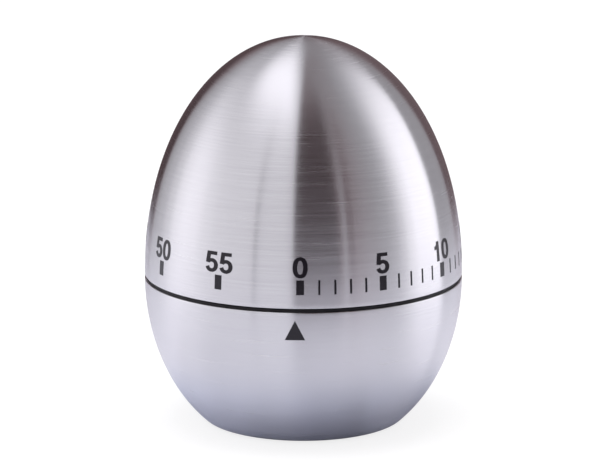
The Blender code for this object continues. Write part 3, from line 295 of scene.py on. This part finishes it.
finishes = {
    "blackPlastic": dict(colours=((0.007, 0.006, 0.007), (0.013, 0.011, 0.013)), roughness=(0.42, 0.6),
                         bumpSize=0.25 * mm, bumpDepth=0.012 * mm, specular=0.25),
    "stampedSteel": dict(colours=((0.48, 0.48, 0.5), (0.6, 0.6, 0.61)), roughness=(0.24, 0.5),
                         bumpSize=0.4 * mm, bumpDepth=0.006 * mm, metallic=1.0, stretch=(0.15, 1, 1)),
    "platedSteel": dict(colours=((0.6, 0.59, 0.55), (0.7, 0.69, 0.66)), roughness=(0.14, 0.32),
                        bumpSize=0.3 * mm, bumpDepth=0.004 * mm, metallic=1.0, stretch=(0.3, 0.3, 2)),
    "bluedSpring": dict(colours=((0.07, 0.09, 0.16), (0.16, 0.17, 0.24)), roughness=(0.2, 0.4),
                        bumpSize=0.5 * mm, bumpDepth=0.004 * mm, metallic=1.0, stretch=(1, 1, 4)),
    "bellSteel": dict(colours=((0.62, 0.62, 0.63), (0.74, 0.74, 0.74)), roughness=(0.1, 0.24),
                      bumpSize=0.4 * mm, bumpDepth=0.003 * mm, metallic=1.0, stretch=(0.4, 0.4, 2)),
    "clockBrass": dict(colours=((0.66, 0.47, 0.2), (0.82, 0.64, 0.33)), roughness=(0.2, 0.42),
                       bumpSize=0.35 * mm, bumpDepth=0.006 * mm, metallic=1.0, stretch=(1, 0.15, 1)),
    "printInk": dict(colours=((0.006, 0.004, 0.007), (0.012, 0.009, 0.014)), roughness=(0.2, 0.3),
                     bumpSize=0.12 * mm, bumpDepth=0.002 * mm, specular=0.35),
}
steelSkin = brushedSteelMaterial()
made = {name: speckledMaterial(name, **values) for name, values in finishes.items()}
print("finishes made:", len(made) + 1)


# ---- steel shells

shells = {
    "wall": 0.5 * mm,
    "segments": 256,
    "cutEdge": 0.14 * mm,  # softened edge at the seam
    "foldRadius": 0.45 * mm,  # where the bowl turns in under the base
    "lipRadius": 18.0 * mm,
    "lipEdge": 0.15 * mm,
}


def makeDome():
    wall = shells["wall"]
    seam = domeLow.z
    outer = eggWall(egg["height"], seam, 0, 96)
    inner = eggWall(egg["height"], seam, wall, 60)
    inner[-1] = (inner[-1][0], seam)
    profile = outer[:-1]
    profile += roundEdge(outer[-1], outer[-2], inner[-1], shells["cutEdge"])
    profile += roundEdge(inner[-1], outer[-1], inner[-2], shells["cutEdge"])
    profile += inner[-2::-1]
    dome = turnedPiece("domeSkin", profile, shells["segments"], steelSkin, loop=False)
    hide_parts("dome_shell")
    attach(dome, "dial")


def makeBowl():
    wall = shells["wall"]
    rim, edge = bowlHigh.z, bowlLow.z
    outer = eggWall(rim, edge, 0, 60)
    inner = eggWall(rim, edge + wall, wall, 40)
    inner[0] = (inner[0][0], rim)
    lipOuter = (shells["lipRadius"], edge)
    lipInner = (shells["lipRadius"], edge + wall)
    profile = roundEdge(outer[0], inner[0], outer[1], shells["cutEdge"])
    profile += outer[1:-1]
    profile += roundEdge(outer[-1], outer[-3], lipOuter, shells["foldRadius"], 6)
    profile += roundEdge(lipOuter, outer[-1], lipInner, shells["lipEdge"], 2)
    profile += roundEdge(lipInner, lipOuter, inner[-1], shells["lipEdge"], 2)
    profile += inner[:0:-1]  # up the inner side, less its first point
    profile += roundEdge(inner[0], inner[1], outer[0], shells["cutEdge"])
    bowl = turnedPiece("bowlSkin", profile, shells["segments"], steelSkin)
    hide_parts("bowl_shell")
    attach(bowl, "base")


makeDome()
makeBowl()
print("steel shells made")


# ---- printing on the dial and the bowl

dialPrint = {
    "zeroHeading": 1.8,  # degrees from the pointer, to its right
    "markHeight": 32.95 * mm,
    "fiveMark": (1.45 * mm, 2.7 * mm),
    "minuteMark": (0.4 * mm, 2.7 * mm),
    "minutesShown": 15,
    "numberHeight": 34.7 * mm,  # foot of the numbers
    "digitSize": (2.8 * mm, 3.85 * mm),
    "digitGap": 0.32 * mm,
    "uprightStroke": 0.86 * mm,
    "levelStroke": 0.66 * mm,
    "inkDepth": 0.03 * mm,
}
pointerPrint = {"width": 3.75 * mm, "height": 3.7 * mm, "belowSeam": 1.5 * mm}


def skinPoint(heading, height, lift):
    # a point on the egg at a heading from the pointer, lifted square to the steel
    radius, z = eggInset(slopeAt(height), -lift)
    return Vector((radius * sin(heading), -radius * cos(heading), z))


def ribbon(shape, left, right, origin, closed=False):
    # a printed stroke: two edges of (x, y) points laid on the steel with a top, a bottom and sides
    heading0, foot = origin
    width = eggPoint(slopeAt(foot))[0]

    def corner(point, lift):
        return shape.verts.new(skinPoint(heading0 + point[0] / width, foot + point[1], lift))

    rows = []
    for a, b in zip(left, right):
        rows.append([corner(a, dialPrint["inkDepth"]), corner(b, dialPrint["inkDepth"]),
                     corner(b, -dialPrint["inkDepth"]), corner(a, -dialPrint["inkDepth"])])
    pairs = list(zip(rows, rows[1:]))
    if closed:
        pairs.append((rows[-1], rows[0]))
    for one, two in pairs:
        for k in range(4):
            shape.faces.new((one[k], one[(k + 1) % 4], two[(k + 1) % 4], two[k]))
    if not closed:
        shape.faces.new(rows[0][::-1])
        shape.faces.new(rows[-1])


def penHalf(way):
    # half the pen's width: it is wider on upright strokes than on level ones
    return hypot(dialPrint["uprightStroke"] * way.y, dialPrint["levelStroke"] * way.x) / 2


def leftOf(way):
    return Vector((-way.y, way.x))


def stroke(shape, points, origin, closed=False):
    points = [Vector(point) for point in points]
    count = len(points)
    left, right = [], []
    for i, point in enumerate(points):
        into = (point - points[i - 1]).normalized() if i or closed else None
        out = (points[(i + 1) % count] - point).normalized() if i < count - 1 or closed else into
        into = into or out
        if abs(into.cross(out)) > 0.5:  # a mitred corner between two straight strokes
            shift = (penHalf(out) - penHalf(into) * into.dot(out)) / into.cross(out)
            offset = leftOf(into) * penHalf(into) - into * shift
        else:
            side = leftOf((into + out).normalized())
            bend = max(side.dot(leftOf(into)), 0.5)
            offset = side * (penHalf(out) + penHalf(into)) / 2 / bend
        left.append(tuple(point + offset))
        right.append(tuple(point - offset))
    ribbon(shape, left, right, origin, closed)


def arc(centre, size, start, end, steps, power=2.0):
    # part of a superellipse, in degrees anticlockwise from +X
    points = []
    for i in range(steps + 1):
        a = radians(start + (end - start) * i / steps)
        x, y = cos(a), sin(a)
        x = abs(x) ** (2 / power) * (1 if x > 0 else -1)
        y = abs(y) ** (2 / power) * (1 if y > 0 else -1)
        points.append((centre[0] + size[0] * x, centre[1] + size[1] * y))
    return points


def line(start, end, pieces=6):
    return [(start[0] + (end[0] - start[0]) * i / pieces, start[1] + (end[1] - start[1]) * i / pieces)
            for i in range(pieces + 1)]


def digitStrokes(digit):
    # centre lines of each figure's strokes: (points, closed)
    width, height = dialPrint["digitSize"]
    u, v = dialPrint["uprightStroke"] / 2, dialPrint["levelStroke"] / 2
    left, right, low, high = u, width - u, v, height - v
    middle = width / 2
    if digit == "0":
        return [(arc((middle, height / 2), (middle - u, height / 2 - v), 90, 440, 35, 2.3), True)]
    if digit == "1":
        stem = 0.62 * width
        flagCentre = (stem - 0.36 * width, high + 0.02 * height)
        flag = arc(flagCentre, (0.36 * width, 0.26 * height), -95, -30, 6)
        return [(line((stem, 0), (stem, height - v * 0.2)), False), (flag, False)]
    if digit == "2":
        top = arc((middle, high - 0.29 * height), (middle - u, 0.29 * height), 168, -32, 16, 2.1)
        foot = line(top[-1], (left + 0.02 * width, low + 0.02 * height), 5)
        return [(top + foot[1:], False), (line((u * 0.2, low), (width - 0.02 * width, low)), False)]
    if digit == "3":
        topCentre = (middle - 0.02 * width, 0.735 * height - v * 0.1)
        top = arc(topCentre, (middle - 1.2 * u, 0.265 * height - v), 165, -90, 16, 2.1)
        foot = arc((middle, 0.29 * height), (middle - u, 0.29 * height - v), 90, -165, 18, 2.1)
        return [(top, False), (foot, False)]
    if digit == "4":
        stem = 0.69 * width
        bar = 0.25 * height
        diagonal = line((stem - 0.55 * u, high + 0.1 * v), (left * 0.75, bar + 0.4 * v), 6)
        return [(diagonal, False), (line((left * 0.25, bar), (width, bar)), False),
                (line((stem, 0), (stem, height)), False)]
    # five
    elbow = (left + 0.1 * width, high)
    hook = (left + 0.03 * width, 0.44 * height)
    top = line((width * 0.9, high), elbow, 5) + line(elbow, hook, 4)[1:]
    bowl = arc((middle, 0.33 * height), (middle - u, 0.33 * height - v), 138, -166, 26, 2.1)
    return [(top, False), (bowl, False)]


def minuteHeading(minute):
    # five minute marks stand every 30 degrees, and the clear gaps between all marks are equal
    fives, rest = divmod(minute, 5)
    ring = eggPoint(slopeAt(dialPrint["markHeight"]))[0]
    wide, narrow = dialPrint["fiveMark"][0] / ring, dialPrint["minuteMark"][0] / ring
    gap = (pi / 6 - wide - 4 * narrow) / 5
    within = 0 if rest == 0 else wide / 2 + gap + narrow / 2 + (rest - 1) * (gap + narrow)
    return radians(dialPrint["zeroHeading"]) + fives * pi / 6 + within


def printBlock(shape, heading, height, size):
    width, tall = size
    left = line((-width / 2, 0), (-width / 2, tall), 4)
    right = line((width / 2, 0), (width / 2, tall), 4)
    ribbon(shape, left, right, (heading, height - tall / 2))


def inkPiece(name, shape, body):
    bmesh.ops.recalc_face_normals(shape, faces=shape.faces)
    mesh = bpy.data.meshes.new(name)
    shape.to_mesh(mesh)
    shape.free()
    smoothShade(mesh, 30)
    piece = newObject(name, mesh, made["printInk"])
    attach(piece, body)


def makeMarks():
    shape = bmesh.new()
    for minute in range(60):
        if minute % 5 == 0:
            printBlock(shape, minuteHeading(minute), dialPrint["markHeight"], dialPrint["fiveMark"])
        elif minute < dialPrint["minutesShown"]:
            printBlock(shape, minuteHeading(minute), dialPrint["markHeight"], dialPrint["minuteMark"])
    inkPiece("minuteMarks", shape, "dial")


def makeNumbers():
    shape = bmesh.new()
    width = dialPrint["digitSize"][0]
    step = width + dialPrint["digitGap"]
    foot = dialPrint["numberHeight"]
    ring = eggPoint(slopeAt(foot))[0]
    for minute in range(0, 60, 5):
        figures = str(minute)
        start = -(step * len(figures) - dialPrint["digitGap"]) / 2
        for place, figure in enumerate(figures):
            heading = minuteHeading(minute) + (start + place * step) / ring
            for points, closed in digitStrokes(figure):
                stroke(shape, points, (heading, foot), closed)
    inkPiece("minuteNumbers", shape, "dial")


def makePointer():
    # a solid triangle laid on the bowl in columns, so that its middle follows the curve
    shape = bmesh.new()
    tall, wide = pointerPrint["height"], pointerPrint["width"]
    foot = bowlHigh.z - pointerPrint["belowSeam"] - tall
    ring = eggPoint(slopeAt(foot))[0]
    columns, rows = 16, 12
    layers = []
    for lift in (dialPrint["inkDepth"], -dialPrint["inkDepth"]):
        grid = []
        for j in range(rows + 1):
            spread = wide * max(1 - j / rows, 0.01) / ring  # the tip is a hundredth of the foot's width
            height = foot + tall * j / rows
            grid.append([shape.verts.new(skinPoint(spread * (i / columns - 0.5), height, lift))
                         for i in range(columns + 1)])
        for lower, upper in zip(grid, grid[1:]):
            for i in range(columns):
                shape.faces.new((lower[i], lower[i + 1], upper[i + 1], upper[i]))
        layers.append(grid)
    top, under = layers
    rim = [(0, i) for i in range(columns)] + [(j, columns) for j in range(rows)]
    rim += [(rows, i) for i in range(columns, 0, -1)] + [(j, 0) for j in range(rows, 0, -1)]
    for (j0, i0), (j1, i1) in zip(rim, rim[1:] + rim[:1]):
        shape.faces.new((top[j0][i0], under[j0][i0], under[j1][i1], top[j1][i1]))
    inkPiece("zeroPointer", shape, "base")


makeMarks()
makeNumbers()
makePointer()
print("dial printed")


# ---- plastics and movement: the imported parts, with finer finishes


def finishNode(name, material):
    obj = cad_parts[name]
    obj.data.materials.clear()
    obj.data.materials.append(material)
    smoothShade(obj.data, 42)


byFinish = {
    "blackPlastic": ("dome_liner", "bowl_liner", "base_cover"),
    "bluedSpring": ("mainspring", "click_spring"),
    "bellSteel": ("bell",),
    "clockBrass": ("great_wheel", "second_wheel", "third_wheel", "fourth_wheel", "escape_wheel",
                   "balance_wheel", "strike_gear", "hammer_head"),
    "platedSteel": ("pillar_", "plate_screw_", "mount_screw_", "base_screw_", "bell_screw", "bell_post",
                    "spring_post", "click_stud", "lever_stud"),
}


def finishFor(name):
    for finish, starts in byFinish.items():
        if name.startswith(starts):
            return finish
    return "stampedSteel"


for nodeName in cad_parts:
    finishNode(nodeName, made[finishFor(nodeName)])
print("movement finished")


# ---- studio: a light tent that the steel reflects, a pale floor and the camera

cameraPlace = {
    "heading": 3.0,  # degrees to the right of the pointer
    "tilt": 12.77,  # degrees above level
    "distance": 568.0 * mm,
    "lens": 177.4,
    "aimHeight": 35.86 * mm,
    "aimSide": -0.66 * mm,
}

tent = {
    "radius": 4.0,
    "columns": 480,
    "rows": 60,
    "lowest": -30,  # degrees below level
    "highest": 89.9,
    # brightness round the walls up to head height: headings run to the camera's right
    "walls": ((-180, 0.09), (-146, 0.07), (-140, 0.5), (-128, 0.68), (-117, 0.98), (-106, 1.38),
              (-96, 1.52), (-86, 1.46), (-74, 1.22), (-64, 1.08), (-50, 1), (-35, 0.95),
              (-32.3, 0.5), (-29.5, 0.92), (-12, 0.9), (-5, 0.8), (-3.6, 0.05), (28, 0.05),
              (31, 0.16), (33.5, 0.52), (36, 0.18), (39, 0.12), (42, 0.28), (55, 0.38), (66, 0.47),
              (74, 0.62), (80, 0.9), (88, 1.35), (96, 1.7), (118, 1.8), (122, 0.45), (144, 0.45),
              (150, 0.14), (180, 0.14)),
    "leftWindow": {"top": 30, "above": 0.93},  # the wall above the left window
    "rightWindow": {"fade": (22, 78), "above": 0.38},
    "rightLean": (15, 0.55),  # the right window's far edge leans back above this height
    "overhead": {"edge": 58, "softness": 16, "side": 0.2, "glow": 1.8},  # a sheet over the left half
    "rear": {"fade": (10, 48), "above": 0.62, "aboveRight": 0.42},
    "gapTop": (55, 80, 0.3),  # the dark gap greys towards the top
    "gapTopRight": (40, 55, 0.2),  # and more so on its right side
    "tint": (1.0, 0.99, 1.06),
    "darkTint": (1.3, 0.88, 0.95),
}


def smoothStep(x):
    x = min(max(x, 0.0), 1.0)
    return x * x * (3 - 2 * x)


def toneAt(stops, heading):
    # a soft run from stop to stop round the compass
    for (h0, g0), (h1, g1) in zip(stops, stops[1:]):
        if h0 <= heading <= h1:
            return g0 + (g1 - g0) * smoothStep((heading - h0) / (h1 - h0))
    return stops[0][1]


def tentGlow(heading, height):
    height = max(height, 0)
    if heading > 100:
        start, lean = tent["rightLean"]
        heading = max(heading - lean * max(height - start, 0), 100)
    glow = toneAt(tent["walls"], heading)
    a, e = radians(heading), radians(height)
    side = sin(a) * cos(e)
    if heading < -30 and glow > tent["leftWindow"]["above"]:
        fade = smoothStep((height - tent["leftWindow"]["top"] + 10) / 20)
        glow += (tent["leftWindow"]["above"] - glow) * fade
    above = tent["rear"]["above" if heading < 0 else "aboveRight"]
    if glow < above and abs(heading) > 120:
        low, high = tent["rear"]["fade"]
        glow += (above - glow) * smoothStep((height - low) / (high - low))
    if heading > 66 and glow > tent["rightWindow"]["above"]:
        low, high = tent["rightWindow"]["fade"]
        glow += (tent["rightWindow"]["above"] - glow) * smoothStep((height - low) / (high - low))
    if -4 < heading < 66 or heading > 122:
        low, high, grey = tent["gapTop"]
        start, end, lift = tent["gapTopRight"]
        if heading < 66:
            grey += lift * smoothStep((heading - start) / (end - start))
        glow += (grey - glow) * smoothStep((height - low) / (high - low))
    over = tent["overhead"]
    share = smoothStep((height - over["edge"]) / over["softness"] + 0.5)
    share *= smoothStep(0.1 - side / over["side"])
    return glow + (over["glow"] - glow) * share


def tentColour(heading, height):
    glow = tentGlow(heading, height)
    mix = smoothStep(glow / 0.5)
    return [glow * (d + (t - d) * mix) for d, t in zip(tent["darkTint"], tent["tint"])]


def makeTent():
    shape = bmesh.new()
    glowLayer = shape.verts.layers.float_color.new("glow")
    columns, rows = tent["columns"], tent["rows"]
    grid = []
    for i in range(rows + 1):
        height = tent["lowest"] + (tent["highest"] - tent["lowest"]) * i / rows
        ring = []
        for j in range(columns):
            heading = -180 + 360 * j / columns
            a, e = radians(heading), radians(height)
            place = Vector((sin(a) * cos(e), -cos(a) * cos(e), sin(e))) * tent["radius"]
            vert = shape.verts.new(place)
            vert[glowLayer] = (*tentColour(heading, height), 1.0)
            ring.append(vert)
        grid.append(ring)
    for lower, upper in zip(grid, grid[1:]):
        for j in range(columns):
            k = (j + 1) % columns
            shape.faces.new((lower[j], upper[j], upper[k], lower[k]))
    mesh = bpy.data.meshes.new("lightTent")
    shape.to_mesh(mesh)
    shape.free()
    mesh.shade_smooth()
    material = bpy.data.materials.new("tentGlow")
    material.use_nodes = True
    tree = material.node_tree
    tree.nodes.clear()
    glow = node(tree, "ShaderNodeAttribute", attribute_name="glow").outputs["Color"]
    lit = node(tree, "ShaderNodeEmission", {"Color": glow, "Strength": 1.0})
    output = node(tree, "ShaderNodeOutputMaterial")
    tree.links.new(lit.outputs[0], output.inputs["Surface"])
    cloth = newObject("lightTent", mesh, material)
    cloth.visible_camera = False
    cloth.visible_shadow = False


studioFloor = {
    "radius": 3.9,
    "rings": 24,
    "ringGrowth": 1.5,  # rings stand closer together near the timer
    "spokes": 120,
    "seenColour": (0.22, 0.22, 0.22),  # what the camera sees: nearly white, with a faint shadow
    "seenGlow": 0.82,
    "topRadius": 0.24,  # the worktop that the steel mirrors
    "mirroredColour": (0.79, 0.8, 0.87),
    # painted shade: the worktop is bluer and darker close to the timer's foot, fading out over the
    # reach below
    "footPaintedShadeColour": (0.74, 0.79, 0.945),  # close to the timer's foot
    "paintedFootReach": (27 * mm, 46 * mm),
    # painted light and shade on the worktop by heading: close to the foot, then farther out
    "footPaintedShading": ((-180, 1.0), (-90, 1.1), (-62, 1.16), (-40, 1.1), (-18, 0.98), (0, 0.98), (14, 0.9),
                  (34, 0.83), (46, 0.96), (62, 0.95), (90, 0.95), (180, 1.0)),
    # painted light: farther out the worktop is brighter towards the headings of the tent's windows
    "farPaintedLight": ((-180, 1.0), (-125, 1.15), (-95, 1.25), (-75, 1.1), (-50, 1.0), (0, 1.03), (15, 1.09),
                 (40, 1.1), (68, 1.05), (88, 1.18), (115, 1.25), (180, 1.0)),
    "fillPower": 8.6,  # a soft overhead light for the worktop only
    "fillSize": 0.7,
    "fillHeight": 1.2,
}


# painted light and shade for the mirrored worktop's colour, by heading and by distance from the timer's
# foot
def worktopTone(x, y):
    heading = degrees(atan2(x, -y))
    start, end = studioFloor["paintedFootReach"]
    far = smoothStep((hypot(x, y) - start) / (end - start))
    near = toneAt(studioFloor["footPaintedShading"], heading)
    paintedShading = near + (toneAt(studioFloor["farPaintedLight"], heading) - near) * far
    colours = zip(studioFloor["footPaintedShadeColour"], studioFloor["mirroredColour"])
    return [paintedShading * (a + (b - a) * far) for a, b in colours]


def floorSheet(name, radius, colour, glow, roughness, specular, depth):
    # rings of faces round the timer, each corner with its own painted light and shade where no colour
    # is given
    shape = bmesh.new()
    paintedShadingLayer = shape.verts.layers.float_color.new("paintedShading")
    count, spokes = studioFloor["rings"], studioFloor["spokes"]
    rings = []
    for i in range(count + 1):
        r = radius * (i / count) ** studioFloor["ringGrowth"]
        turns = [2 * pi * j / spokes for j in range(spokes if i else 1)]
        ring = [shape.verts.new((r * cos(a), r * sin(a), 0)) for a in turns]
        for vert in ring:
            vert[paintedShadingLayer] = (*worktopTone(vert.co.x, vert.co.y), 1)
        rings.append(ring)
    for inner, outer in zip(rings, rings[1:]):
        for j in range(spokes):
            k = (j + 1) % spokes
            if len(inner) == 1:
                shape.faces.new((inner[0], outer[j], outer[k]))
            else:
                shape.faces.new((inner[j], outer[j], outer[k], inner[k]))
    mesh = bpy.data.meshes.new(name)
    shape.to_mesh(mesh)
    shape.free()
    material, tree, shader = newMaterial(name)
    if colour:
        shader.inputs["Base Color"].default_value = (*colour, 1)
    else:
        paintedShading = node(tree, "ShaderNodeAttribute", attribute_name="paintedShading").outputs["Color"]
        tree.links.new(paintedShading, shader.inputs["Base Color"])
    shader.inputs["Roughness"].default_value = roughness
    shader.inputs["Specular IOR Level"].default_value = specular
    shader.inputs["Emission Color"].default_value = (1, 1, 1, 1)
    shader.inputs["Emission Strength"].default_value = glow
    sheet = newObject(name, mesh, material)
    sheet.location.z = cadBox[0][2] - depth
    return sheet


def makeFloor():
    seen = floorSheet("paleFloor", studioFloor["radius"], studioFloor["seenColour"],
                      studioFloor["seenGlow"], 0.9, 0.0, 0.02 * mm)
    seen.visible_glossy = False
    seen.visible_diffuse = False
    seen.visible_shadow = False
    # the worktop's corner colours carry painted light and shade, seen only in reflections
    mirrored = floorSheet("worktop", studioFloor["topRadius"], None, 0.0, 0.22, 0.9, 0.04 * mm)
    mirrored.visible_camera = False
    data = bpy.data.lights.new("worktopFill", "AREA")
    data.shape = "SQUARE"
    data.size = studioFloor["fillSize"]
    data.energy = studioFloor["fillPower"]
    fill = bpy.data.objects.new("worktopFill", data)
    bpy.context.scene.collection.objects.link(fill)
    fill.location.z = studioFloor["fillHeight"]
    fill.visible_glossy = False
    fill.visible_camera = False


def makeWorld():
    world = bpy.data.worlds.new("studio")
    world.use_nodes = True
    background = world.node_tree.nodes["Background"]
    background.inputs["Color"].default_value = (1, 1, 1, 1)
    background.inputs["Strength"].default_value = 1.0
    bpy.context.scene.world = world
    bpy.context.scene.view_settings.view_transform = "Standard"


def makeCamera():
    data = bpy.data.cameras.new("camera")
    data.lens = cameraPlace["lens"]
    data.sensor_width = 36.0
    data.clip_start = 0.01
    camera = bpy.data.objects.new("camera", data)
    bpy.context.scene.collection.objects.link(camera)
    a, e = radians(cameraPlace["heading"]), radians(cameraPlace["tilt"])
    toCamera = Vector((sin(a) * cos(e), -cos(a) * cos(e), sin(e)))
    aim = Vector((cos(a), sin(a), 0)) * cameraPlace["aimSide"]
    aim.z = cameraPlace["aimHeight"]
    camera.location = aim + toCamera * cameraPlace["distance"]
    camera.rotation_euler = (-toCamera).to_track_quat("-Z", "Y").to_euler()
    bpy.context.scene.camera = camera


makeTent()
makeFloor()
makeWorld()
makeCamera()
print("studio ready")
